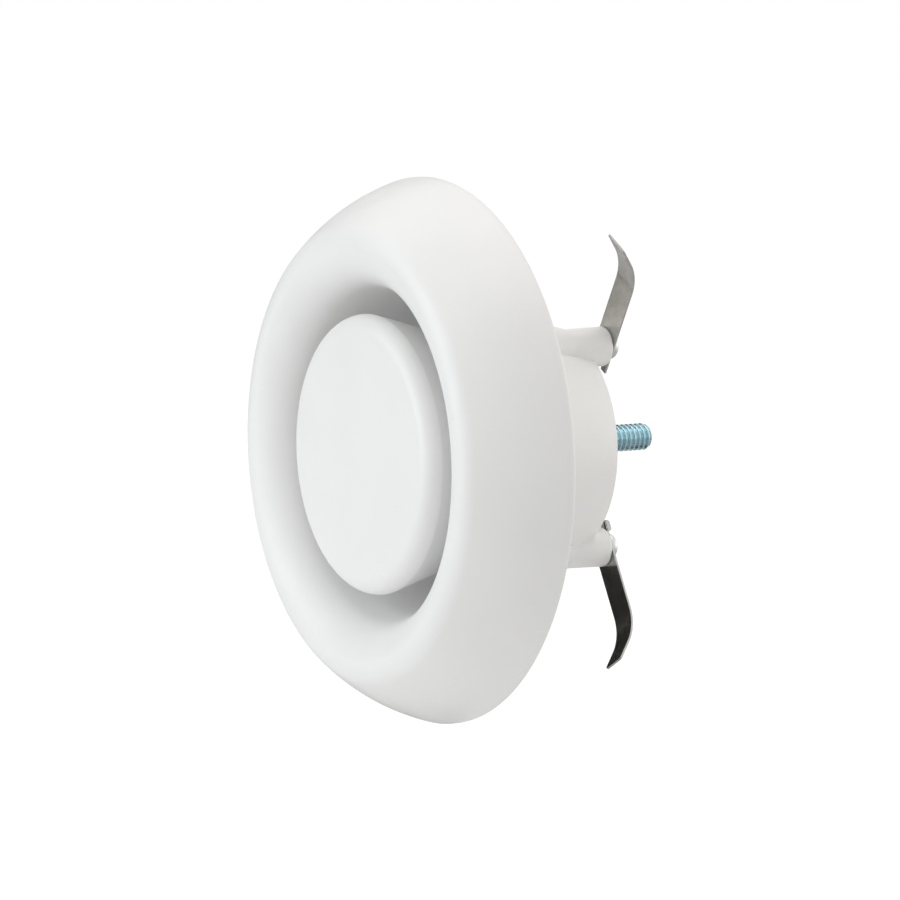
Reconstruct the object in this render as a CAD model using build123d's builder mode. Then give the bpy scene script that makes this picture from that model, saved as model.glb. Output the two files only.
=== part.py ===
from build123d import *
import os
from math import acos, atan2, cos, degrees, radians, sin, tan

# Extract air valve for a round ceiling or wall duct.
# The valve's axis is Y: the front faces -Y, the neck points into the duct along +Y, and +Z is up.
# The origin is the centre of the ring's rear edge, which lies against the wall. Millimetres.

# Front ring, one smooth skin of tangent arcs from the rim over the crest into the throat
ring_diameter = 125.0
rim_land = 1.65
rim_slope = 16.6
shoulder_radius = 45.9
shoulder_sweep = 25.8
crest_radius = 6.2
crest_sweep = 69.1
throat_radius = 12.8
body_wall = 1.6

# Funnel and neck behind the ring
neck_rear = 34.1
neck_bore = 48.8
neck_edge_round = 0.5

# Posts that carry the leaf springs
spring_count = 3
first_spring_angle = 60.0
post_circle_diameter = 53.7
post_diameter = 9.2
post_waist_diameter = 8.7
post_waist = 28.0
post_base_diameter = 11.9
post_base_rear = 21.0
post_end = 38.05
post_edge_round = 0.7

# Bridge and hub inside the neck
hub_diameter = 18.0
hub_length = 10.0
hub_clearance = 0.4
arm_width = 4.0
arm_depth = 6.0
arm_inset = 1.6

# Spindle, 1/4 in with 20 threads to the inch, and its nuts
spindle_diameter = 6.35
spindle_length = 73.3
spindle_chamfer = 0.8
spindle_end_round = 1.6
nut_across_flats = 11.11
nut_thickness = 5.56
nut_edge_chamfer = 0.5
thread_clearance = 0.05
pocket_clearance = 0.1

# Control disc, a hollow cup with a flat face and a conical skirt
disc_diameter = 63.8
disc_face = -19.3
disc_edge_radius = 3.8
disc_wall = 1.8
skirt_angle = 16.0
skirt_rear = 0.2
boss_diameter = 15.0
boss_rear = -5.6
boss_hole_depth = 9.0
boss_hole_end_gap = 0.3
rib_count = 6
rib_thickness = 1.4
rib_height = 3.5

# Loose washer between the boss and its nut
washer_diameter = 14.0
washer_thickness = 1.6
washer_bore_clearance = 0.4
washer_play = 0.1

# Leaf springs, bent from strip
leaf_width = 7.2
leaf_thickness = 0.45
leaf_inner_radius = 21.7
leaf_bend_start = 43.3
leaf_bend_radius = 13.0
leaf_bend_sweep = 40.0
leaf_tip_length = 5.0
leaf_tip_round = 1.0
lug_length = 2.7
lug_height = 1.4
lug_round = 0.7

# Domed screws that hold the springs
screw_diameter = 3.0
screw_length = 10.5
screw_head_diameter = 6.2
screw_head_height = 2.6
screw_head_round = 1.9
screw_clearance = 0.05
leaf_slot_clearance = 0.15
screw_hole_end_gap = 0.5
recess_length = 3.0
recess_width = 0.8
recess_depth = 0.9

os.makedirs("parts", exist_ok=True)


def station(y):
    """Plane across the axis at y: its own axes are the valve's X and Z, and it looks forward."""
    return Plane.XZ.offset(-y)


def finish(builder, name):
    """Label a finished piece and write it."""
    builder.part.label = name
    export_step(builder.part, f"parts/{name}.step")


def heading(angle):
    """Direction that leaves the rim forwards and leans towards the axis by the angle."""
    return Vector(-sin(radians(angle)), -cos(radians(angle)))


def inward(angle):
    """Normal of that direction, which points into the wall."""
    return Vector(-cos(radians(angle)), sin(radians(angle)))


# Front skin in section, with X as the radius and Y along the axis
ring_radius = ring_diameter / 2
crest_slope = rim_slope + shoulder_sweep
throat_slope = crest_slope + crest_sweep
rim_point = Vector(ring_radius, -rim_land)
shoulder_centre = rim_point + inward(rim_slope) * shoulder_radius
crest_centre = shoulder_centre - inward(crest_slope) * (shoulder_radius - crest_radius)
throat_centre = crest_centre - inward(throat_slope) * (crest_radius - throat_radius)

# The throat runs out where it is tangent to the straight funnel
bore_radius = neck_bore / 2
to_bore = Vector(bore_radius, neck_rear) - throat_centre
funnel_slope = 360 - degrees(atan2(to_bore.Y, to_bore.X) + acos(throat_radius / to_bore.length))
throat_sweep = funnel_slope - throat_slope
funnel_angle = 180 - funnel_slope
neck_outer_radius = bore_radius + body_wall / cos(radians(funnel_angle))


def skin_arcs(depth):
    """Shoulder, crest and throat arcs of the ring, the given depth inside its front skin."""
    start = rim_point + inward(rim_slope) * depth
    shoulder = JernArc(start, heading(rim_slope), shoulder_radius - depth, -shoulder_sweep)
    crest = JernArc(shoulder @ 1, shoulder % 1, crest_radius - depth, -crest_sweep)
    throat = JernArc(crest @ 1, crest % 1, throat_radius - depth, -throat_sweep)
    return shoulder @ 0, throat @ 1


# Where the posts and the hub sit
spring_angles = [first_spring_angle + number * 360 / spring_count for number in range(spring_count)]
post_axis = post_circle_diameter / 2
post_reach = post_axis + post_base_diameter / 2
post_front = neck_rear - (post_reach - neck_outer_radius) / tan(radians(funnel_angle)) - 2 * body_wall
hub_front = neck_rear - hub_length
arm_front = neck_rear - arm_inset - arm_depth
spindle_radius = spindle_diameter / 2

with BuildPart() as post:
    with BuildSketch() as post_half:
        with BuildLine():
            Polyline(
                (post_axis, post_front),
                (post_axis + post_base_diameter / 2, post_front),
                (post_axis + post_base_diameter / 2, post_base_rear),
                (post_axis + post_waist_diameter / 2, post_waist),
                (post_axis + post_diameter / 2, post_end),
                (post_axis, post_end),
                close=True,
            )
        make_face()
        end_corner = post_half.vertices().group_by(Axis.Y)[-1].sort_by(Axis.X)[-1]
        fillet(end_corner, radius=post_edge_round)
    revolve(axis=Axis((post_axis, 0, 0), (0, 1, 0)))

with BuildPart() as valve_body:
    with BuildSketch() as skin:
        with BuildLine():
            front_rim, front_throat = skin_arcs(0)
            back_rim, back_throat = skin_arcs(body_wall)
            Polyline(front_rim, (ring_radius, 0), (back_rim.X, 0), back_rim)
            neck_inner = (bore_radius, neck_rear)
            neck_outer = (neck_outer_radius, neck_rear)
            Polyline(front_throat, neck_inner, neck_outer, back_throat)
        make_face()
        fillet(skin.vertices().group_by(Axis.Y)[-1], radius=neck_edge_round)
    revolve(axis=Axis.Y)
    # The posts stand on the funnel's outer wall and leave its bore clear
    for angle in spring_angles:
        add(post.part.rotate(Axis.Y, -angle))
    with BuildSketch():
        with BuildLine():
            funnel_front = (front_throat.X, front_throat.Y)
            Polyline((0, front_throat.Y), funnel_front, neck_inner, (0, neck_rear), close=True)
        make_face()
    revolve(axis=Axis.Y, mode=Mode.SUBTRACT)
    # Bridge: a hub on three arms that run out to the posts
    with BuildSketch(station(arm_front)):
        with PolarLocations(0, spring_count, start_angle=first_spring_angle):
            Rectangle(post_axis, arm_width, align=(Align.MIN, Align.CENTER))
    extrude(amount=-arm_depth)
    with BuildSketch(station(hub_front)):
        Circle(hub_diameter / 2)
    extrude(amount=-hub_length)
    with BuildSketch(station(hub_front)):
        Circle(spindle_radius + hub_clearance)
    extrude(amount=-hub_length, mode=Mode.SUBTRACT)
    # Pocket in the hub's front for the captive nut
    with BuildSketch(station(hub_front)):
        RegularPolygon(nut_across_flats / 2 + pocket_clearance, 6, major_radius=False)
    extrude(amount=-nut_thickness, mode=Mode.SUBTRACT)
    # Pilot holes for the spring screws
    screw_depth = screw_length - leaf_thickness + screw_hole_end_gap
    with BuildSketch(station(post_end)):
        with PolarLocations(post_axis, spring_count, start_angle=first_spring_angle):
            Circle(screw_diameter / 2 + screw_clearance)
    extrude(amount=screw_depth, mode=Mode.SUBTRACT)
finish(valve_body, "valve_body")

# Control disc in section: flat face, rounded edge, crease and skirt
disc_radius = disc_diameter / 2
crease_y = disc_face + disc_edge_radius
flat_radius = disc_radius - disc_edge_radius
face_inside = disc_face + disc_wall
skirt_taper = (skirt_rear - crease_y) * tan(radians(skirt_angle))
inside_radius = disc_radius - disc_wall

with BuildPart() as control_disc:
    with BuildSketch():
        with BuildLine():
            edge = JernArc((flat_radius, disc_face), (1, 0), disc_edge_radius, 90)
            inner_edge = JernArc((flat_radius, face_inside), (1, 0), disc_edge_radius - disc_wall, 90)
            Polyline(edge @ 0, (0, disc_face), (0, face_inside), inner_edge @ 0)
            skirt_end = (disc_radius - skirt_taper, skirt_rear)
            skirt_end_inside = (inside_radius - skirt_taper, skirt_rear)
            Polyline(edge @ 1, skirt_end, skirt_end_inside, inner_edge @ 1)
        make_face()
    revolve(axis=Axis.Y)
    with BuildSketch(station(face_inside)):
        Circle(boss_diameter / 2)
    extrude(amount=face_inside - boss_rear)
    # Low ribs from the boss out into the rounded edge
    with BuildSketch(station(face_inside)):
        with PolarLocations(0, rib_count):
            Rectangle(flat_radius + disc_wall, rib_thickness, align=(Align.MIN, Align.CENTER))
    extrude(amount=-rib_height)
    with BuildSketch(station(boss_rear)):
        Circle(spindle_radius + thread_clearance)
    extrude(amount=boss_hole_depth, mode=Mode.SUBTRACT)
finish(control_disc, "control_disc")

spindle_front = boss_rear - boss_hole_depth + boss_hole_end_gap

with BuildPart() as spindle:
    with BuildSketch(station(spindle_front)):
        Circle(spindle_radius)
    extrude(amount=-spindle_length)
    chamfer(spindle.edges().group_by(Axis.Y)[0], length=spindle_chamfer)
    fillet(spindle.edges().group_by(Axis.Y)[-1], radius=spindle_end_round)
finish(spindle, "spindle")

washer_front = boss_rear + washer_play

with BuildPart() as spindle_washer:
    with BuildSketch(station(washer_front)):
        Circle(washer_diameter / 2)
        Circle(spindle_radius + washer_bore_clearance, mode=Mode.SUBTRACT)
    extrude(amount=-washer_thickness)
finish(spindle_washer, "spindle_washer")


def make_nut(front, name):
    """Hex nut on the spindle, with its corners turned off at both faces."""
    corner_radius = nut_across_flats / 2 / cos(radians(30))
    half_turned = corner_radius - nut_edge_chamfer / tan(radians(30))
    with BuildPart() as nut:
        with BuildSketch(station(front)):
            RegularPolygon(nut_across_flats / 2, 6, major_radius=False)
            Circle(spindle_radius + thread_clearance, mode=Mode.SUBTRACT)
        extrude(amount=-nut_thickness)
        with BuildSketch():
            with BuildLine():
                Polyline(
                    (0, front),
                    (half_turned, front),
                    (corner_radius, front + nut_edge_chamfer),
                    (corner_radius, front + nut_thickness - nut_edge_chamfer),
                    (half_turned, front + nut_thickness),
                    (0, front + nut_thickness),
                    close=True,
                )
            make_face()
        revolve(axis=Axis.Y, mode=Mode.INTERSECT)
    finish(nut, name)


make_nut(washer_front + washer_thickness + washer_play, "disc_nut")
make_nut(hub_front, "bridge_nut")
make_nut(neck_rear, "lock_nut")


def make_leaf_spring(angle, name):
    """Strip that lies on its post, runs out along the radius and bends forward to a straight tip."""
    along = Vector(cos(radians(angle)), 0, sin(radians(angle)))
    across = Vector(-sin(radians(angle)), 0, cos(radians(angle)))
    side = Plane((0, post_end, 0), x_dir=along, z_dir=across)
    with BuildPart() as leaf:
        with BuildSketch(side):
            with BuildLine():
                front = Line((leaf_inner_radius, 0), (leaf_bend_start, 0))
                front_bend = JernArc(front @ 1, front % 1, leaf_bend_radius, -leaf_bend_sweep)
                front_tip = Line(front_bend @ 1, front_bend @ 1 + front_bend % 1 * leaf_tip_length)
                rear = Line((leaf_inner_radius, leaf_thickness), (leaf_bend_start, leaf_thickness))
                rear_radius = leaf_bend_radius + leaf_thickness
                rear_bend = JernArc(rear @ 1, rear % 1, rear_radius, -leaf_bend_sweep)
                rear_tip = Line(rear_bend @ 1, rear_bend @ 1 + rear_bend % 1 * leaf_tip_length)
                Line(front @ 0, rear @ 0)
                Line(front_tip @ 1, rear_tip @ 1)
            make_face()
        extrude(amount=leaf_width / 2, both=True)
        tip_corners = leaf.edges().filter_by(GeomType.LINE).sort_by_distance((0, post_end, 0))[-3:]
        fillet([edge for edge in tip_corners if edge.length < leaf_width / 2], radius=leaf_tip_round)
        # Lug turned up behind the strip, along one edge at its inner end
        with BuildSketch(side.offset(leaf_width / 2)) as lug:
            with Locations((leaf_inner_radius, 0)):
                Rectangle(lug_length, lug_height, align=(Align.MIN, Align.MIN))
            fillet(lug.vertices().group_by(Axis.Y)[-1], radius=lug_round)
        extrude(amount=-leaf_thickness)
        # Slot that is open at the inner end, so that the strip slides in under its screw's head
        with BuildSketch(station(post_end)):
            with PolarLocations(post_axis, 1, start_angle=angle):
                slot = Circle(screw_diameter / 2 + leaf_slot_clearance)
                slot_length = post_axis - leaf_inner_radius
                Rectangle(slot_length, 2 * slot.radius, align=(Align.MAX, Align.CENTER))
        extrude(amount=-leaf_thickness, mode=Mode.SUBTRACT)
    finish(leaf, name)


def make_spring_screw(angle, name):
    """Screw with a domed, cross-recessed head behind the leaf and its shank in the post."""
    head_front = post_end + leaf_thickness
    head_rear = head_front + screw_head_height
    with BuildPart() as screw:
        with BuildSketch(station(head_front)):
            with PolarLocations(post_axis, 1, start_angle=angle):
                Circle(screw_head_diameter / 2)
        extrude(amount=-screw_head_height)
        fillet(screw.edges().group_by(Axis.Y)[-1], radius=screw_head_round)
        with BuildSketch(station(head_front)):
            with PolarLocations(post_axis, 1, start_angle=angle):
                Circle(screw_diameter / 2)
        extrude(amount=screw_length)
        with BuildSketch(station(head_rear)):
            with PolarLocations(post_axis, 1, start_angle=angle):
                Rectangle(recess_length, recess_width)
                Rectangle(recess_width, recess_length)
        extrude(amount=recess_depth, mode=Mode.SUBTRACT)
    finish(screw, name)


for number, angle in enumerate(spring_angles, start=1):
    make_leaf_spring(angle, f"leaf_spring_{number}")
    make_spring_screw(angle, f"spring_screw_{number}")
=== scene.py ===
"""Extract air valve: white moulded ring, neck and disc, a threaded zinc spindle and steel leaf springs.

Every surface is worked out with numpy as a grid over two parameters. Sizes are in millimetres and meshes in
metres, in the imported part's frame: the valve's axis is Y, the front faces -Y and +Z is up.
"""

import bmesh
import bpy
import numpy as np
from mathutils import Matrix, Vector


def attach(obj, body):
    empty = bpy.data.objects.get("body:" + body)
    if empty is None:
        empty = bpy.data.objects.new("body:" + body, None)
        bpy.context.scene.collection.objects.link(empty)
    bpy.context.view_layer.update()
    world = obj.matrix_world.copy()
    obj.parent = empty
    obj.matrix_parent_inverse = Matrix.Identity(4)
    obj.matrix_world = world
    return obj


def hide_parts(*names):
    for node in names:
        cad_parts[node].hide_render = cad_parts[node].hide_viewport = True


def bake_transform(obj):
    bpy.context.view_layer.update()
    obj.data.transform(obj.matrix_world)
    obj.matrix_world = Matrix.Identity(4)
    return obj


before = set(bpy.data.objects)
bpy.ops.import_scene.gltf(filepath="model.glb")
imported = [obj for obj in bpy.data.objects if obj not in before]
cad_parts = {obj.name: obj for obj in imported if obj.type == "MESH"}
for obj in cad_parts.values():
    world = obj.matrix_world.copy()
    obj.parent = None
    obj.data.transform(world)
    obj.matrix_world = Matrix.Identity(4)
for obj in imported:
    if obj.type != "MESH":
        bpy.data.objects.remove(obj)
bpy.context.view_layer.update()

MM = 0.001
TURN = 2 * np.pi

# Ring and neck, in millimetres
ring_radius = 62.5
rim_land = 1.65
rim_slope = np.radians(16.6)
shoulder_radius = 45.9
shoulder_sweep = np.radians(25.8)
crest_radius = 6.2
crest_sweep = np.radians(69.1)
throat_radius = 12.8
body_wall = 1.6
neck_rear = 34.1
bore_radius = 24.4
neck_edge_round = 0.5
rim_edge_round = 0.7

# Posts and bridge
spring_angles = np.radians([60.0, 180.0, 300.0])
post_circle_radius = 26.85
post_radius = 4.6
post_waist_radius = 4.35
post_waist = 28.0
post_base_radius = 5.95
post_base_rear = 21.0
post_base_front = 8.0
post_waist_round = 3.0
post_end = 38.05
post_edge_round = 0.7
post_sink = 0.6
hub_radius = 9.0
hub_length = 10.0
hub_bore = 3.575
hub_edge_round = 0.4
arm_width = 4.0
arm_depth = 6.0
arm_inset = 1.6
arm_sink = 1.0
arm_edge_round = 0.5
pocket_apothem = 5.655

# Control disc
disc_radius = 31.9
disc_face = -19.3
disc_edge_radius = 3.8
disc_wall = 1.8
skirt_angle = np.radians(16.0)
skirt_rear = 0.2
skirt_edge_round = 0.4
boss_radius = 7.5
boss_rear = -5.6
boss_hole_depth = 9.0
boss_edge_round = 0.4
rib_count = 6
rib_thickness = 1.4
rib_height = 3.5
rib_sink = 1.0
rib_edge_round = 0.3

# Spindle, nuts and washer
spindle_radius = 3.175
spindle_front = -14.3
spindle_length = 73.3
spindle_chamfer = 0.8
spindle_end_round = 1.6
thread_pitch = 1.27
thread_depth = 0.70
thread_crest = 0.16
thread_root = 0.14
nut_apothem = 5.555
nut_thickness = 5.56
nut_chamfer = 0.5
nut_chamfer_angle = np.radians(30.0)
nut_bore = 3.225
washer_radius = 7.0
washer_bore = 3.575
washer_thickness = 1.6
washer_edge_round = 0.25
washer_front = -5.5
disc_nut_front = -3.8

# Leaf springs and their screws
leaf_width = 7.2
leaf_thickness = 0.45
leaf_inner_radius = 21.7
leaf_bend_start = 43.3
leaf_bend_radius = 13.0
leaf_bend_sweep = np.radians(40.0)
leaf_tip_length = 5.0
leaf_tip_round = 1.0
leaf_slot_radius = 1.65
leaf_collar = 5.15
lug_length = 2.7
lug_height = 1.4
lug_round = 0.7
lug_foot_round = 0.05
screw_head_radius = 3.1
screw_head_height = 2.6
screw_head_round = 1.9
screw_shank_radius = 1.5
screw_length = 10.5
recess_length = 3.0
recess_width = 0.8
recess_depth = 0.9
recess_draft = 0.06
crown_half = 1.7

# Grid densities
AROUND_RING = 320
AROUND_DISC = 256
AROUND_SMALL = 72
AROUND_POST = 96
AROUND_NUT = 144
ARC_STEPS = 36
CORNER_STEPS = 6
FUNNEL_STEPS = 6
FACE_STEPS = 12
POST_EDGE_STEPS = 10
POST_WAIST_STEPS = 12
POST_SIDE_ROWS = 48
POST_FOOT_ROUNDS = 60
ROWS_PER_PITCH = 14
TINE_STEPS = 9
FORK_STEPS = 6
LEAF_ACROSS = 17
LEAF_ALONG = 60
LEAF_TIP_STEPS = 8
DOME_STEPS = 9
CARD_STEPS = 24

# Edges that turn by more than these angles are shaded as sharp
SHARP = np.radians(32)
SHARP_ON_DISC = np.radians(12)
SHARP_ON_NUT = np.radians(15)
SHARP_ON_THREAD = np.radians(60)


# Meshes

def grid_faces(rows, columns, close_rows, close_columns):
    """Quads of a grid of points, each one square of the grid, with either direction closed on itself."""
    row = np.arange(rows if close_rows else rows - 1)
    column = np.arange(columns if close_columns else columns - 1)
    i, j = np.meshgrid(row, column, indexing="ij")
    up, along = (i + 1) % rows, (j + 1) % columns
    quads = np.stack([i * columns + j, up * columns + j, up * columns + along, i * columns + along], -1)
    return quads.reshape(-1, 4)


def mesh_object(name, grids, sharp_angle=SHARP):
    """One object from closed surfaces made of grids, each (points in mm, close_rows, close_columns).

    Doubled points at poles and seams are merged, faces are turned outwards, and edges under the sharp angle
    are shaded smooth.
    """
    points, quads, offset = [], [], 0
    for grid, close_rows, close_columns in grids:
        points.append(grid.reshape(-1, 3))
        quads.append(grid_faces(grid.shape[0], grid.shape[1], close_rows, close_columns) + offset)
        offset += len(points[-1])
    points = np.concatenate(points) * MM
    quads = np.concatenate(quads)
    mesh = bpy.data.meshes.new(name)
    mesh.vertices.add(len(points))
    mesh.vertices.foreach_set("co", points.astype(np.float32).ravel())
    mesh.loops.add(quads.size)
    mesh.loops.foreach_set("vertex_index", quads.astype(np.int32).ravel())
    mesh.polygons.add(len(quads))
    mesh.polygons.foreach_set("loop_start", np.arange(0, quads.size, 4, dtype=np.int32))
    mesh.update(calc_edges=True)
    merge_doubles(mesh)
    mesh.shade_smooth()
    mesh.set_sharp_from_angle(angle=sharp_angle)
    piece = bpy.data.objects.new(name, mesh)
    bpy.context.scene.collection.objects.link(piece)
    return piece


def merge_doubles(mesh, distance=1e-7):
    """Merge points that lie on each other, drop faces left with no area, and turn the rest outwards."""
    work = bmesh.new()
    work.from_mesh(mesh)
    bmesh.ops.remove_doubles(work, verts=work.verts, dist=distance)
    bmesh.ops.dissolve_degenerate(work, edges=work.edges, dist=distance)
    bmesh.ops.recalc_face_normals(work, faces=work.faces)
    work.to_mesh(mesh)
    work.free()
    mesh.update()


# Profiles

def inward(slope):
    """Unit normal into the wall where the skin leans towards the axis by the slope."""
    return np.stack([-np.cos(slope), np.sin(slope)], -1)


def skin_arc(centre, radius, start, end, steps=ARC_STEPS):
    """Points of a circle from one slope to the other: its centre less its radius times the inward normal."""
    return centre - radius * inward(np.linspace(start, end, steps))


def straight(start, end, steps):
    """Evenly spaced points from start to end."""
    share = np.linspace(0, 1, steps)[:, None]
    return np.asarray(start) * (1 - share) + np.asarray(end) * share


def rounded(points, radii, steps=CORNER_STEPS):
    """Polyline with each inner corner turned into an arc of its radius, tangent to its two runs."""
    points = np.asarray(points, float)
    radii = np.broadcast_to(radii, len(points) - 2)
    run = [points[:1]]
    for before, corner, after, radius in zip(points[:-2], points[1:-1], points[2:], radii):
        a = (before - corner) / np.linalg.norm(before - corner)
        b = (after - corner) / np.linalg.norm(after - corner)
        half = np.arccos(np.clip(a @ b, -1, 1)) / 2
        reach = radius / np.tan(half)
        middle = corner + (a + b) / np.linalg.norm(a + b) * radius / np.sin(half)
        first, last = corner + a * reach - middle, corner + b * reach - middle
        turn = np.arctan2(first[0] * last[1] - first[1] * last[0], first @ last)
        t = np.linspace(0, turn, steps)
        across = np.array([-first[1], first[0]])
        run.append(middle + np.cos(t)[:, None] * first + np.sin(t)[:, None] * across)
    run.append(points[-1:])
    return np.concatenate(run)


def full_turn(count):
    """Evenly spaced angles of one turn, the last one a step short of the first."""
    return np.linspace(0, TURN, count, endpoint=False)


def round_axis(radius, y, turn):
    """Points at y, off the Y axis by the radius times the cosine and the sine of each angle."""
    return np.stack([radius * np.cos(turn), y + 0 * turn, radius * np.sin(turn)], -1)


def revolved(profile, count):
    """Surface of a profile of (radius, y) carried round the Y axis."""
    return round_axis(profile[:, :1], profile[:, 1:], full_turn(count))


def about(points, angle):
    """Points that were laid out along +X, turned round the Y axis to the angle."""
    x, y, z = np.moveaxis(points, -1, 0)
    return np.stack([x * np.cos(angle) - z * np.sin(angle), y, x * np.sin(angle) + z * np.cos(angle)], -1)


# Ring skin: centres of its tangent arcs, and the funnel that leaves the throat towards the neck's rear edge
crest_slope = rim_slope + shoulder_sweep
throat_slope = crest_slope + crest_sweep
rim_point = np.array([ring_radius, -rim_land])
shoulder_centre = rim_point + shoulder_radius * inward(rim_slope)
crest_centre = shoulder_centre - (shoulder_radius - crest_radius) * inward(crest_slope)
throat_centre = crest_centre - (crest_radius - throat_radius) * inward(throat_slope)
to_bore = np.array([bore_radius, neck_rear]) - throat_centre
tangent_turn = np.arccos(throat_radius / np.linalg.norm(to_bore))
funnel_slope = TURN - (np.arctan2(to_bore[1], to_bore[0]) + tangent_turn)
funnel_angle = np.pi - funnel_slope
neck_outer_radius = bore_radius + body_wall / np.cos(funnel_angle)


def skin(depth):
    """Shoulder, crest and throat in one run, the depth inside the front skin."""
    return np.concatenate([
        skin_arc(shoulder_centre, shoulder_radius - depth, rim_slope, crest_slope),
        skin_arc(crest_centre, crest_radius - depth, crest_slope, throat_slope)[1:],
        skin_arc(throat_centre, throat_radius - depth, throat_slope, funnel_slope)[1:],
    ])


def body_shell():
    """Ring, funnel and neck: one closed wall of even thickness, carried round the axis."""
    front, back = skin(0), skin(body_wall)
    neck_corners = [(bore_radius, neck_rear), (neck_outer_radius, neck_rear)]
    neck = rounded([front[-1], *neck_corners, back[-1]], neck_edge_round)
    rim = rounded([back[0], (back[0, 0], 0), (ring_radius, 0), front[0]], rim_edge_round)
    funnel_in = straight(front[-1], neck[1], FUNNEL_STEPS)[1:-1]
    funnel_out = straight(neck[-2], back[-1], FUNNEL_STEPS)[1:-1]
    loop = np.concatenate([front, funnel_in, neck[1:-1], funnel_out, back[::-1], rim[1:-1]])
    return revolved(loop, AROUND_RING), True, True


def post(angle):
    """Spring post: a bar along Y with a rounded end, a waist and a flared foot, carried round its own axis.

    Each line down its side ends in the funnel's wall, whose y falls from the neck's rear edge by the
    distance beyond that edge over the funnel's slope. Over the bore the lines end level with that edge.
    The radius at the foot depends on the foot's y, so the two are worked out in turn until they settle.
    """
    turn = full_turn(AROUND_POST)
    end_corners = [(0, post_end), (post_radius, post_end), (post_radius, post_waist)]
    end = rounded(end_corners, post_edge_round, POST_EDGE_STEPS)[:-1]
    side_corners = [(post_radius, post_end), (post_waist_radius, post_waist),
                    (post_base_radius, post_base_rear), (post_base_radius, post_base_front)]
    side = rounded(side_corners, post_waist_round, POST_WAIST_STEPS)[::-1]
    reach = post_waist_radius + 0 * turn
    for _ in range(POST_FOOT_ROUNDS):
        off_axis = np.hypot(post_circle_radius + reach * np.cos(turn), reach * np.sin(turn))
        fall = np.maximum(off_axis - neck_outer_radius, 0) / np.tan(funnel_angle)
        foot = neck_rear - fall - np.where(off_axis > bore_radius, post_sink, 0)
        reach = np.interp(foot, side[:, 1], side[:, 0])
    share = np.linspace(0, 1, POST_SIDE_ROWS)[1:, None]
    side_y = end[-1, 1] + (foot - end[-1, 1]) * share
    side_radius = np.interp(side_y, side[:, 1], side[:, 0])
    radius = np.concatenate([end[:, :1] + 0 * turn, side_radius, 0 * turn[None]])
    y = np.concatenate([end[:, 1:] + 0 * turn, side_y, neck_rear + 0 * turn[None]])
    grid = np.stack([post_circle_radius + radius * np.cos(turn), y, radius * np.sin(turn)], -1)
    return about(grid, angle), False, True


def hexagon_radius(turn, apothem):
    """Distance from a hexagon's centre to its edge: the apothem over the cosine of the angle from a flat."""
    side = TURN / 6
    return apothem / np.cos(turn % side - side / 2)


def hub():
    """Hub of the bridge: a short barrel, with the spindle's hole and a six-sided pocket in its front."""
    turn = full_turn(AROUND_SMALL)
    front, rear = neck_rear - hub_length, neck_rear
    barrel = rounded([(hub_bore, rear), (hub_radius, rear), (hub_radius, front), (pocket_apothem, front)],
                     hub_edge_round)[:-1]
    pocket = hexagon_radius(turn, pocket_apothem)
    pocket_floor = front + nut_thickness
    radius = np.concatenate([barrel[:, :1] + 0 * turn, np.stack([pocket, pocket, hub_bore + 0 * turn])])
    y = np.concatenate([barrel[:, 1], [front, pocket_floor, pocket_floor]])[:, None]
    return round_axis(radius, y, turn), True, True


def bar_section(width, depth, radius):
    """Outline of a bar, a rectangle with rounded corners centred on the origin."""
    w, d = width / 2, depth / 2
    corners = [(w, 0), (w, d), (-w, d), (-w, -d), (w, -d), (w, 0)]
    return rounded(corners, radius)[:-1]


def radial_bar(angle, inner, outer, width, depth, middle_y, radius):
    """Bar with closed ends that runs out at the angle: its section, carried along that radius."""
    section = bar_section(width, depth, radius)
    share = np.array([0, 1, 1, 0])[:, None]
    reach = np.array([inner, inner, outer, outer])[:, None]
    grid = np.stack([reach + 0 * section[:, 0], middle_y + share * section[:, 1], share * section[:, 0]], -1)
    return about(grid, angle), False, True


def bridge_arm(angle):
    """Arm of the bridge from the hub into the neck's wall."""
    middle = neck_rear - arm_inset - arm_depth / 2
    inner, outer = hub_radius - arm_sink, bore_radius + body_wall
    return radial_bar(angle, inner, outer, arm_width, arm_depth, middle, arm_edge_round)


def disc_shell():
    """Control disc, carried round: flat face, round edge, crease, conical skirt, and the boss inside it."""
    crease = disc_face + disc_edge_radius
    flat = disc_radius - disc_edge_radius
    inside = disc_face + disc_wall
    inner_radius = disc_radius - disc_wall
    taper = (skirt_rear - crease) * np.tan(skirt_angle)
    turn = np.linspace(0, np.pi / 2, ARC_STEPS)
    edge = np.stack([flat + disc_edge_radius * np.sin(turn), crease - disc_edge_radius * np.cos(turn)], -1)
    inner_round = disc_edge_radius - disc_wall
    inner_edge = np.stack([flat + inner_round * np.sin(turn), crease - inner_round * np.cos(turn)], -1)
    skirt = rounded([edge[-1], (disc_radius - taper, skirt_rear), (inner_radius - taper, skirt_rear),
                     inner_edge[-1]], skirt_edge_round)
    hole = spindle_radius
    boss = rounded([(flat, inside), (boss_radius, inside), (boss_radius, boss_rear), (hole, boss_rear),
                    (hole, boss_rear - boss_hole_depth), (0, boss_rear - boss_hole_depth)], boss_edge_round)
    face = straight((0, disc_face), edge[0], FACE_STEPS)[:-1]
    loop = np.concatenate([face, edge, skirt[1:-1], inner_edge[::-1], boss[1:]])
    return revolved(loop, AROUND_DISC), False, True


def disc_rib(number):
    """Low rib on the inside of the disc's face, from the boss into the rounded edge."""
    inside = disc_face + disc_wall
    reach = disc_radius - disc_edge_radius + disc_wall / 2
    middle = inside + rib_height / 2 - rib_edge_round
    return radial_bar(number * TURN / rib_count, boss_radius - rib_sink, reach, rib_thickness,
                      rib_height + 2 * rib_edge_round, middle, rib_edge_round)


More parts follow.
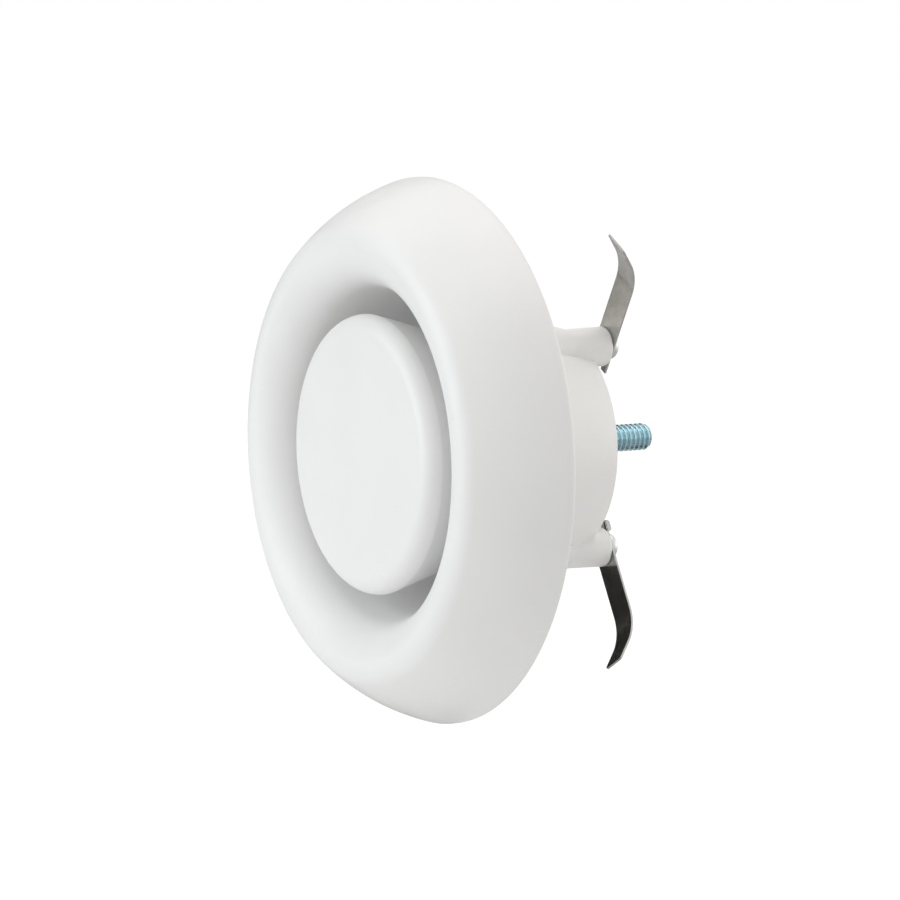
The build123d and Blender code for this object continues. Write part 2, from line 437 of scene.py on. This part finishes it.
def thread_height(phase):
    """Height of the thread over its root at a phase of one pitch: flat root, flank, flat crest, flank."""
    flank = (1 - thread_crest - thread_root) / 2
    rise = np.clip((phase - thread_root) / flank, 0, 1)
    fall = np.clip((1 - phase) / flank, 0, 1)
    return thread_depth * np.minimum(rise, fall)


def spindle_surface():
    """Threaded bar: the root's radius plus the thread's height at the phase of y over pitch plus turn.

    A cone bounds it at the front end, and a quarter circle at the rear end.
    """
    turn = full_turn(AROUND_SMALL)
    rows = int(spindle_length / thread_pitch * ROWS_PER_PITCH)
    along = np.linspace(0, spindle_length, rows)[:, None]
    phase = (along / thread_pitch + turn / TURN) % 1
    radius = spindle_radius - thread_depth + thread_height(phase)
    radius = np.minimum(radius, spindle_radius - np.maximum(spindle_chamfer - along, 0))
    into = np.maximum(along - (spindle_length - spindle_end_round), 0)
    cap = spindle_radius - spindle_end_round + np.sqrt(np.maximum(spindle_end_round**2 - into**2, 0))
    radius = np.minimum(radius, cap)
    pole = 0 * turn[None]
    radius = np.concatenate([pole, radius, pole])
    along = np.concatenate([along[:1], along, along[-1:]])
    return round_axis(radius, spindle_front + along, turn), False, True


def nut_surface(front):
    """Hex nut: a six-sided bar with its corners turned off by a cone at both faces, closed through its bore.

    On each line down a side, the cone meets the flat where it has grown from the face's circle to the
    hexagon.
    """
    turn = full_turn(AROUND_NUT)
    hexagon = hexagon_radius(turn, nut_apothem)
    fall = np.tan(nut_chamfer_angle)
    face = nut_apothem / np.cos(TURN / 12) - nut_chamfer / fall
    lip = np.maximum(hexagon - face, 0) * fall
    plain = 0 * turn
    radius = np.stack([nut_bore + plain, face + plain, hexagon, hexagon, face + plain, nut_bore + plain])
    rear = nut_thickness + plain
    y = front + np.stack([plain, plain, lip, rear - lip, rear, rear])
    return round_axis(radius, y, turn), True, True


def washer_surface():
    """Flat ring with eased edges."""
    rear = washer_front + washer_thickness
    middle = washer_front + washer_thickness / 2
    corners = [(washer_bore, middle), (washer_bore, rear), (washer_radius, rear),
               (washer_radius, washer_front), (washer_bore, washer_front), (washer_bore, middle)]
    return revolved(rounded(corners, washer_edge_round)[:-1], AROUND_SMALL), True, True


# Leaf springs

leaf_flat = leaf_bend_start - leaf_inner_radius
leaf_bend = leaf_bend_radius * leaf_bend_sweep
leaf_length = leaf_flat + leaf_bend + leaf_tip_length


def leaf_line(length):
    """Front face of the strip in (radius, y), and its rear normal, at each length from the inner end.

    It runs straight out to the bend, turns forward on a circle, and ends in a straight tip.
    """
    turn = np.clip(length - leaf_flat, 0, leaf_bend) / leaf_bend_radius
    tip = np.maximum(length - leaf_flat - leaf_bend, 0)
    out = np.minimum(length, leaf_flat) + leaf_bend_radius * np.sin(turn) + tip * np.cos(turn)
    radius = leaf_inner_radius + out
    y = post_end - leaf_bend_radius * (1 - np.cos(turn)) - tip * np.sin(turn)
    return np.stack([radius, y], -1), np.stack([np.sin(turn), np.cos(turn)], -1)


def leaf_half_width(length):
    """Half the strip's width at each length: full, and drawn in on a quarter circle at the tip's corners."""
    into = np.clip(length - (leaf_length - leaf_tip_round), 0, leaf_tip_round)
    return leaf_width / 2 - leaf_tip_round + np.sqrt(np.maximum(leaf_tip_round**2 - into**2, 0))


def leaf_sheet(length, across):
    """Points of the strip at lengths and places across it, as (front, rear) surfaces a thickness apart."""
    line, normal = leaf_line(length)
    front = np.stack([line[..., 0], line[..., 1], across], -1)
    rear = front + leaf_thickness * np.stack([normal[..., 0], normal[..., 1], 0 * across], -1)
    return front, rear


def leaf_grids(angle):
    """Strip with an open slot: rows from the slot's outline to the strip's, then rows out to the tip.

    Each point of the slot's outline faces one of the strip's: straight across along the tines, and along
    a ray round the screw.
    """
    half = leaf_width / 2
    middle = post_circle_radius - leaf_inner_radius
    tine = np.linspace(0, middle, TINE_STEPS)[:-1]
    run = middle + np.linspace(0, leaf_collar, TINE_STEPS)[:-1]
    steps = np.linspace(-1, 1, LEAF_ACROSS)
    side = np.concatenate([tine, run])
    near = np.stack([side, -half + 0 * side], -1)
    outer = np.concatenate([near, np.stack([middle + leaf_collar + 0 * steps, half * steps], -1),
                            near[::-1] * (1, -1)])
    ray = outer - (middle, 0)
    ray = (middle, 0) + leaf_slot_radius * ray / np.linalg.norm(ray, axis=1)[:, None]
    straight_in = np.stack([outer[:, 0], leaf_slot_radius * np.sign(outer[:, 1])], -1)
    inner = np.where(outer[:, :1] < middle, straight_in, ray)
    share = np.linspace(0, 1, FORK_STEPS)[:, None, None]
    plan = inner * (1 - share) + outer * share
    fork = np.stack(leaf_sheet(plan[..., 0], plan[..., 1]))
    corner = np.linspace(0, np.pi / 2, LEAF_TIP_STEPS)
    tip = leaf_length - leaf_tip_round * (1 - np.sin(corner))
    length = np.concatenate([np.linspace(middle + leaf_collar, tip[0], LEAF_ALONG)[:-1], tip])[:, None]
    sheet = np.stack(leaf_sheet(length + 0 * steps, leaf_half_width(length) * steps))
    edge = len(side) + 1
    fork_walls = [fork[:, 0], fork[:, :, 0], fork[:, :, -1], fork[:, -1, :edge], fork[:, -1, -edge:]]
    sheet_walls = [sheet[:, :, 0], sheet[:, :, -1], sheet[:, -1]]
    grids = [*fork, *sheet, *fork_walls, *sheet_walls]
    return [(about(grid, angle), False, False) for grid in grids] + [leaf_lug(angle)]


def leaf_lug(angle):
    """Lug turned up behind the strip along one edge: a flat outline with round corners, carried across."""
    inner, outer = leaf_inner_radius, leaf_inner_radius + lug_length
    low, high = post_end, post_end + lug_height
    middle = (inner + outer) / 2
    corners = [(middle, low), (outer, low), (outer, high), (inner, high), (inner, low), (middle, low)]
    outline = rounded(corners, [lug_foot_round, lug_round, lug_round, lug_foot_round])[:-1]
    centre = np.array([middle, (low + high) / 2])
    share = np.array([0, 1, 1, 0])[:, None, None]
    across = leaf_width / 2 - leaf_thickness * np.array([1, 1, 0, 0])[:, None]
    flat = centre + share * (outline - centre)
    grid = np.stack([flat[..., 0], flat[..., 1], across + 0 * flat[..., 0]], -1)
    return about(grid, angle), False, True


def screw_grids(angle):
    """Domed screw: a square of lines over the crown with a cross pressed into it, and rings round that.

    The rings run from the square out over the dome, down the head, in under it and round the plain shank.
    """
    base = post_end + leaf_thickness
    top = base + screw_head_height
    flat = screw_head_radius - screw_head_round
    long, short = recess_length / 2, recess_width / 2
    across = [0, short / 2, short - recess_draft]
    along = [short, (long + 2 * short) / 3, (2 * long + short) / 3, long - recess_draft]
    line = np.array([*across, *along, long, crown_half])
    line = np.concatenate([-line[:0:-1], line])
    x, z = np.meshgrid(line, line, indexing="ij")
    drop = np.maximum(np.hypot(x, z) - flat, 0)
    dome = top - screw_head_round + np.sqrt(screw_head_round**2 - drop**2)
    cross = (np.maximum(abs(x), abs(z)) < long) & (np.minimum(abs(x), abs(z)) < short)
    crown = np.stack([post_circle_radius + x, np.where(cross, top - recess_depth, dome), z], -1)
    border = np.concatenate([crown[-1, :-1], crown[:0:-1, -1], crown[0, :0:-1], crown[:-1, 0]])
    outline = border[:, ::2] - (post_circle_radius, 0)
    reach = np.linalg.norm(outline, axis=1)
    start = np.arcsin((reach - flat) / screw_head_round)
    swing = start + (np.pi / 2 - start) * np.linspace(0, 1, DOME_STEPS)[:, None]
    below = np.array([(screw_head_radius, base), (screw_shank_radius, base),
                      (screw_shank_radius, base - screw_length), (0, base - screw_length)])
    radius = np.concatenate([flat + screw_head_round * np.sin(swing), below[:, :1] + 0 * reach])
    y = np.concatenate([top - screw_head_round * (1 - np.cos(swing)), below[:, 1:] + 0 * reach])
    x, z = np.moveaxis(outline / reach[:, None], -1, 0)
    rings = np.stack([post_circle_radius + radius * x, y, radius * z], -1)
    return [(about(crown, angle), False, False), (about(rings, angle), False, True)]


# Materials

ROLLING_STRETCH = 14.0


def mottle_group():
    """Shared effect: cloudy noise at a scale, spread over a range from low to high."""
    group = bpy.data.node_groups.new("mottle", "ShaderNodeTree")
    for name, kind, start in (("Vector", "NodeSocketVector", None), ("Scale", "NodeSocketFloat", 100.0),
                              ("Detail", "NodeSocketFloat", 3.0), ("Low", "NodeSocketFloat", 0.0),
                              ("High", "NodeSocketFloat", 1.0)):
        socket = group.interface.new_socket(name, in_out="INPUT", socket_type=kind)
        if start is not None:
            socket.default_value = start
    group.interface.new_socket("Value", in_out="OUTPUT", socket_type="NodeSocketFloat")
    inlet = group.nodes.new("NodeGroupInput")
    outlet = group.nodes.new("NodeGroupOutput")
    noise = group.nodes.new("ShaderNodeTexNoise")
    spread = group.nodes.new("ShaderNodeMapRange")
    spread.inputs["From Min"].default_value = 0.3
    spread.inputs["From Max"].default_value = 0.7
    link = group.links.new
    link(inlet.outputs["Vector"], noise.inputs["Vector"])
    link(inlet.outputs["Scale"], noise.inputs["Scale"])
    link(inlet.outputs["Detail"], noise.inputs["Detail"])
    link(noise.outputs["Fac"], spread.inputs["Value"])
    link(inlet.outputs["Low"], spread.inputs["To Min"])
    link(inlet.outputs["High"], spread.inputs["To Max"])
    link(spread.outputs["Result"], outlet.inputs["Value"])
    return group


MOTTLE = mottle_group()


def mottle(tree, vector, scale, low=0.0, high=1.0, detail=3.0):
    """Add the mottle group to a material and return its value."""
    made = tree.nodes.new("ShaderNodeGroup")
    made.node_tree = MOTTLE
    for key, value in (("Scale", scale), ("Detail", detail), ("Low", low), ("High", high)):
        made.inputs[key].default_value = value
    tree.links.new(vector, made.inputs["Vector"])
    return made.outputs["Value"]


def new_material(name):
    """Empty node material with a Principled shader. Returns (material, tree, shader)."""
    material = bpy.data.materials.new(name)
    material.use_nodes = True
    tree = material.node_tree
    return material, tree, tree.nodes["Principled BSDF"]


def two_tone(tree, share, dark, pale):
    """Colour between two tones by a share that changes over the surface."""
    mix = tree.nodes.new("ShaderNodeMix")
    mix.data_type = "RGBA"
    mix.inputs["A"].default_value = (*dark, 1)
    mix.inputs["B"].default_value = (*pale, 1)
    tree.links.new(share, mix.inputs["Factor"])
    return mix.outputs["Result"]


def bumped(tree, shader, height, strength, distance):
    """Raise the surface's shading by a height."""
    bump = tree.nodes.new("ShaderNodeBump")
    bump.inputs["Strength"].default_value = strength
    bump.inputs["Distance"].default_value = distance
    tree.links.new(height, bump.inputs["Height"])
    tree.links.new(bump.outputs["Normal"], shader.inputs["Normal"])


def white_moulding():
    """White moulded plastic: faint cloudiness in the white, a fine even grain, a soft satin gloss."""
    material, tree, shader = new_material("white_moulding")
    place = tree.nodes.new("ShaderNodeTexCoord").outputs["Object"]
    cloud = mottle(tree, place, scale=45.0)
    tone = two_tone(tree, cloud, dark=(0.855, 0.853, 0.845), pale=(0.880, 0.878, 0.870))
    gloss = mottle(tree, place, scale=120.0, low=0.36, high=0.46)
    grain = mottle(tree, place, scale=2600.0, detail=2.0)
    tree.links.new(tone, shader.inputs["Base Color"])
    tree.links.new(gloss, shader.inputs["Roughness"])
    bumped(tree, shader, grain, strength=0.06, distance=0.00008)
    shader.inputs["IOR"].default_value = 1.46
    return material


def blue_zinc():
    """Blue passivated zinc plate: bright metal with a teal cast that drifts over the surface."""
    material, tree, shader = new_material("blue_zinc")
    place = tree.nodes.new("ShaderNodeTexCoord").outputs["Object"]
    drift = mottle(tree, place, scale=260.0)
    tone = two_tone(tree, drift, dark=(0.385, 0.585, 0.65), pale=(0.48, 0.675, 0.735))
    gloss = mottle(tree, place, scale=700.0, low=0.22, high=0.34)
    grain = mottle(tree, place, scale=1500.0)
    tree.links.new(tone, shader.inputs["Base Color"])
    tree.links.new(gloss, shader.inputs["Roughness"])
    bumped(tree, shader, grain, strength=0.10, distance=0.00005)
    shader.inputs["Metallic"].default_value = 1.0
    return material


def bright_zinc():
    """Bright zinc plate on the screws: pale metal with a slight haze."""
    material, tree, shader = new_material("bright_zinc")
    place = tree.nodes.new("ShaderNodeTexCoord").outputs["Object"]
    haze = mottle(tree, place, scale=500.0)
    tone = two_tone(tree, haze, dark=(0.58, 0.61, 0.58), pale=(0.69, 0.71, 0.69))
    gloss = mottle(tree, place, scale=900.0, low=0.40, high=0.52)
    tree.links.new(tone, shader.inputs["Base Color"])
    tree.links.new(gloss, shader.inputs["Roughness"])
    shader.inputs["Metallic"].default_value = 1.0
    return material


def spring_steel():
    """Rolled spring steel: dull grey with clouds and fine rolling lines along the strip."""
    material, tree, shader = new_material("spring_steel")
    strip = tree.nodes.new("ShaderNodeAttribute")
    strip.attribute_name = "strip"
    stretch = tree.nodes.new("ShaderNodeVectorMath")
    stretch.operation = "MULTIPLY"
    stretch.inputs[1].default_value = (1.0, ROLLING_STRETCH, 1.0)
    tree.links.new(strip.outputs["Vector"], stretch.inputs[0])
    lines = stretch.outputs[0]
    cloud = mottle(tree, strip.outputs["Vector"], scale=320.0, detail=5.0)
    tone = two_tone(tree, cloud, dark=(0.45, 0.44, 0.415), pale=(0.56, 0.55, 0.52))
    gloss = mottle(tree, lines, scale=160.0, low=0.16, high=0.24)
    rolling = mottle(tree, lines, scale=260.0)
    tree.links.new(tone, shader.inputs["Base Color"])
    tree.links.new(gloss, shader.inputs["Roughness"])
    bumped(tree, shader, rolling, strength=0.05, distance=0.00004)
    shader.inputs["Metallic"].default_value = 1.0
    return material


# Pieces

FINISHES = {"white_moulding": white_moulding(), "blue_zinc": blue_zinc(), "bright_zinc": bright_zinc(),
            "spring_steel": spring_steel()}


def mark_strip(piece, angle):
    """Give each point of a strip its place along and across it, which the rolling lines follow."""
    mesh = piece.data
    places = np.empty(3 * len(mesh.vertices), np.float32)
    mesh.vertices.foreach_get("co", places)
    x, y, z = places.reshape(-1, 3).T
    along = x * np.cos(angle) + z * np.sin(angle) - y
    across = z * np.cos(angle) - x * np.sin(angle)
    strip = mesh.attributes.new("strip", "FLOAT_VECTOR", "POINT")
    strip.data.foreach_set("vector", np.stack([along, across, 0 * y], -1).ravel())


def dress(piece, finish, body, *nodes):
    """Give a piece its finish, and put it in place of the solids that it stands for.

    It rides on the body, if one is named, and on none otherwise.
    """
    piece.data.materials.append(FINISHES[finish])
    if body:
        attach(piece, body)
    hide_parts(*nodes)


posts = [post(angle) for angle in spring_angles]
arms = [bridge_arm(angle) for angle in spring_angles]
moulded_body = mesh_object("moulded_body", [body_shell(), hub(), *posts, *arms])
dress(moulded_body, "white_moulding", "body", "valve_body")
ribs = [disc_rib(number) for number in range(rib_count)]
moulded_disc = mesh_object("moulded_disc", [disc_shell(), *ribs], SHARP_ON_DISC)
dress(moulded_disc, "white_moulding", "disc", "control_disc")
threaded_spindle = mesh_object("threaded_spindle", [spindle_surface()], SHARP_ON_THREAD)
dress(threaded_spindle, "blue_zinc", "disc", "spindle")
for name, front, body, solid in (("boss_nut", disc_nut_front, "disc", "disc_nut"),
                                 ("hub_nut", neck_rear - hub_length, "body", "bridge_nut"),
                                 ("jam_nut", neck_rear, "body", "lock_nut")):
    nut = mesh_object(name, [nut_surface(front)], SHARP_ON_NUT)
    dress(nut, "blue_zinc", body, solid)
boss_washer = mesh_object("boss_washer", [washer_surface()])
dress(boss_washer, "blue_zinc", "carrier", "spindle_washer")

for number, angle in enumerate(spring_angles, 1):
    leaf = mesh_object(f"spring_leaf_{number}", leaf_grids(angle))
    dress(leaf, "spring_steel", None, f"leaf_spring_{number}")
    mark_strip(leaf, angle)
    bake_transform(leaf)
    screw = mesh_object(f"domed_screw_{number}", screw_grids(angle))
    dress(screw, "bright_zinc", "body", f"spring_screw_{number}")


# Studio

CAMERA_AZIMUTH = np.radians(59.61)
CAMERA_ELEVATION = np.radians(6.49)
CAMERA_DISTANCE = 914.53 * MM
CAMERA_RIGHT = 4.36 * MM
CAMERA_UP = 0.11 * MM
CAMERA_LENS = 160.0
CAMERA_SENSOR = 36.0
CAMERA_NEAR = 0.01

# Light and floor, in metres and watts
WORLD_LIGHT = 0.61
WORLD_TINT = (1.0, 0.997, 0.988)
FLOOR_DROP = 0.20
FLOOR_HALF = 6.0
FLOOR_BOUNCE = 0.86
FLOOR_SHADOW = 0.3
LAMP_SIZE = 0.9
LAMPS = {
    "key": dict(spot=(-0.42, -1.1, 0.3), power=5.7, colour=(0.90, 0.95, 1.0)),
    "overhead": dict(spot=(0.1, 0.2, 1.1), power=4.5, colour=(1.0, 0.97, 0.93)),
    "rear_fill": dict(spot=(0.15, 1.4, 0.05), power=3.4, colour=(1.0, 0.94, 0.85)),
}

# Cards that only the metal reflects, as painted reflections: a grey one below for painted shade under the
# valve, a dark one behind the ring for the painted shade of the ring's back, and a dark one to the left for
# painted shade on that side
LOW_CARD_HALF = 1.0
LOW_CARD_HEIGHT = -0.16
LOW_CARD_TONE = 0.6
RING_CARD_Y = 0.004
RING_CARD_REACH = (0.037, 0.12)
RING_CARD_ANGLES = np.radians([195, 275])
LEFT_CARD_X = -0.5
LEFT_CARD_ACROSS = (-0.45, 0.30)
LEFT_CARD_HEIGHT = (-0.055, 0.4)
# Tone of the two dark cards: painted shade in the metal's reflections
PAINTED_SHADE_TONE = 0.005
MATT = 0.9


def place_camera():
    """Camera at the photograph's angle: out along the view line, then shifted across the picture."""
    az, el = CAMERA_AZIMUTH, CAMERA_ELEVATION
    back = np.array([np.sin(az) * np.cos(el), -np.cos(az) * np.cos(el), np.sin(el)])
    right = np.array([np.cos(az), np.sin(az), 0])
    up = np.cross(back, right)
    spot = back * CAMERA_DISTANCE + right * CAMERA_RIGHT + up * CAMERA_UP
    data = bpy.data.cameras.new("camera")
    data.lens = CAMERA_LENS
    data.sensor_width = CAMERA_SENSOR
    data.clip_start = CAMERA_NEAR
    camera = bpy.data.objects.new("camera", data)
    matrix = np.eye(4)
    matrix[:3] = np.stack([right, up, back, spot], -1)
    camera.matrix_world = Matrix(matrix.tolist())
    bpy.context.scene.collection.objects.link(camera)
    bpy.context.scene.camera = camera


def seen_directly(tree):
    """1 for rays from the camera, from gloss or through glass, and 0 for the rest."""
    path = tree.nodes.new("ShaderNodeLightPath")
    first = tree.nodes.new("ShaderNodeMath")
    first.operation = "MAXIMUM"
    second = tree.nodes.new("ShaderNodeMath")
    second.operation = "MAXIMUM"
    tree.links.new(path.outputs["Is Camera Ray"], first.inputs[0])
    tree.links.new(path.outputs["Is Glossy Ray"], first.inputs[1])
    tree.links.new(first.outputs[0], second.inputs[0])
    tree.links.new(path.outputs["Is Transmission Ray"], second.inputs[1])
    return second.outputs[0]


def white_world(ambient, tint):
    """Even soft light from all round, white where it is seen directly."""
    world = bpy.data.worlds.new("studio")
    bpy.context.scene.world = world
    world.use_nodes = True
    tree = world.node_tree
    light = tree.nodes["Background"]
    light.inputs["Color"].default_value = (*tint, 1)
    light.inputs["Strength"].default_value = ambient
    seen = tree.nodes.new("ShaderNodeBackground")
    seen.inputs["Color"].default_value = (1, 1, 1, 1)
    mix = tree.nodes.new("ShaderNodeMixShader")
    tree.links.new(seen_directly(tree), mix.inputs["Fac"])
    tree.links.new(light.outputs[0], mix.inputs[1])
    tree.links.new(seen.outputs[0], mix.inputs[2])
    tree.links.new(mix.outputs[0], tree.nodes["World Output"].inputs["Surface"])


def level_sheet(name, half, height):
    """Square level sheet of the studio, centred on the valve."""
    corners = [(-half, -half, height), (half, -half, height), (half, half, height), (-half, half, height)]
    return studio_sheet(name, corners, [(0, 1, 2, 3)])


def upright_sheet(name, x, across, height):
    """Upright sheet of the studio at x, over a range of y and a range of z."""
    (front, rear), (low, high) = across, height
    corners = [(x, front, low), (x, rear, low), (x, rear, high), (x, front, high)]
    return studio_sheet(name, corners, [(0, 1, 2, 3)])


def studio_sheet(name, corners, faces):
    """Flat sheet of the studio, which isn't part of the valve."""
    mesh = bpy.data.meshes.new(name)
    mesh.from_pydata(np.asarray(corners).tolist(), [], np.asarray(faces).tolist())
    sheet = bpy.data.objects.new(name, mesh)
    bpy.context.scene.collection.objects.link(sheet)
    return sheet


def sector_sheet(name, y, reach, angles):
    """Part of a flat ring round the valve's axis, at y, between two radii and two angles."""
    turn = np.linspace(*angles, CARD_STEPS)
    radius = np.asarray(reach)[:, None]
    grid = np.stack([radius * np.cos(turn), y + 0 * radius * turn, radius * np.sin(turn)], -1)
    return studio_sheet(name, grid.reshape(-1, 3), grid_faces(2, len(turn), False, False))


def pale_floor(bounce, shadow_share):
    """Pale floor below the valve: seen as white less its shadows, and lit as a pale grey sheet otherwise."""
    floor = level_sheet("floor", FLOOR_HALF, -FLOOR_DROP)
    material, tree, shader = new_material("floor")
    shader.inputs["Base Color"].default_value = (bounce, bounce, bounce, 1)
    shader.inputs["Roughness"].default_value = MATT
    shader.inputs["Specular IOR Level"].default_value = 0.0
    shade = tree.nodes.new("ShaderNodeBsdfDiffuse")
    shade.inputs["Color"].default_value = (shadow_share, shadow_share, shadow_share, 1)
    glow = tree.nodes.new("ShaderNodeEmission")
    glow.inputs["Strength"].default_value = 1.0 - shadow_share / 2
    seen = tree.nodes.new("ShaderNodeAddShader")
    mix = tree.nodes.new("ShaderNodeMixShader")
    tree.links.new(shade.outputs[0], seen.inputs[0])
    tree.links.new(glow.outputs[0], seen.inputs[1])
    tree.links.new(seen_directly(tree), mix.inputs["Fac"])
    tree.links.new(shader.outputs[0], mix.inputs[1])
    tree.links.new(seen.outputs[0], mix.inputs[2])
    tree.links.new(mix.outputs[0], tree.nodes["Material Output"].inputs["Surface"])
    floor.data.materials.append(material)


def card(sheet, tone):
    """Make a sheet a card that only shows as a reflection in gloss and metal: a painted reflection, which
    neither lights nor shades the valve.
    """
    material, tree, shader = new_material(sheet.name)
    shader.inputs["Base Color"].default_value = (tone, tone, tone, 1)
    shader.inputs["Roughness"].default_value = MATT
    sheet.data.materials.append(material)
    sheet.visible_camera = False
    sheet.visible_diffuse = False
    sheet.visible_shadow = False
    sheet.visible_transmission = False


def soft_box(name, spot, power, colour):
    """Large square lamp that looks at the valve."""
    data = bpy.data.lights.new(name, "AREA")
    data.shape = "SQUARE"
    data.size = LAMP_SIZE
    data.energy = power
    data.color = colour
    lamp = bpy.data.objects.new(name, data)
    lamp.location = spot
    lamp.rotation_euler = (-Vector(spot)).to_track_quat("-Z", "Y").to_euler()
    bpy.context.scene.collection.objects.link(lamp)


place_camera()
white_world(WORLD_LIGHT, WORLD_TINT)
pale_floor(FLOOR_BOUNCE, FLOOR_SHADOW)
# Painted shade: a grey card below the valve, seen only in the metal, darkens what the metal's lower sides
# reflect
card(level_sheet("low_shade_card", LOW_CARD_HALF, LOW_CARD_HEIGHT), LOW_CARD_TONE)
# Painted shade: a dark card just behind the ring's lower left, seen only in the metal, stands for the ring's
# shaded back
card(sector_sheet("ring_shade_card", RING_CARD_Y, RING_CARD_REACH, RING_CARD_ANGLES), PAINTED_SHADE_TONE)
# Painted shade: a dark card to the left, seen only in the metal
card(upright_sheet("left_shade_card", LEFT_CARD_X, LEFT_CARD_ACROSS, LEFT_CARD_HEIGHT), PAINTED_SHADE_TONE)
for name, lamp in LAMPS.items():
    soft_box(name, **lamp)
bpy.context.scene.view_settings.view_transform = "Standard"
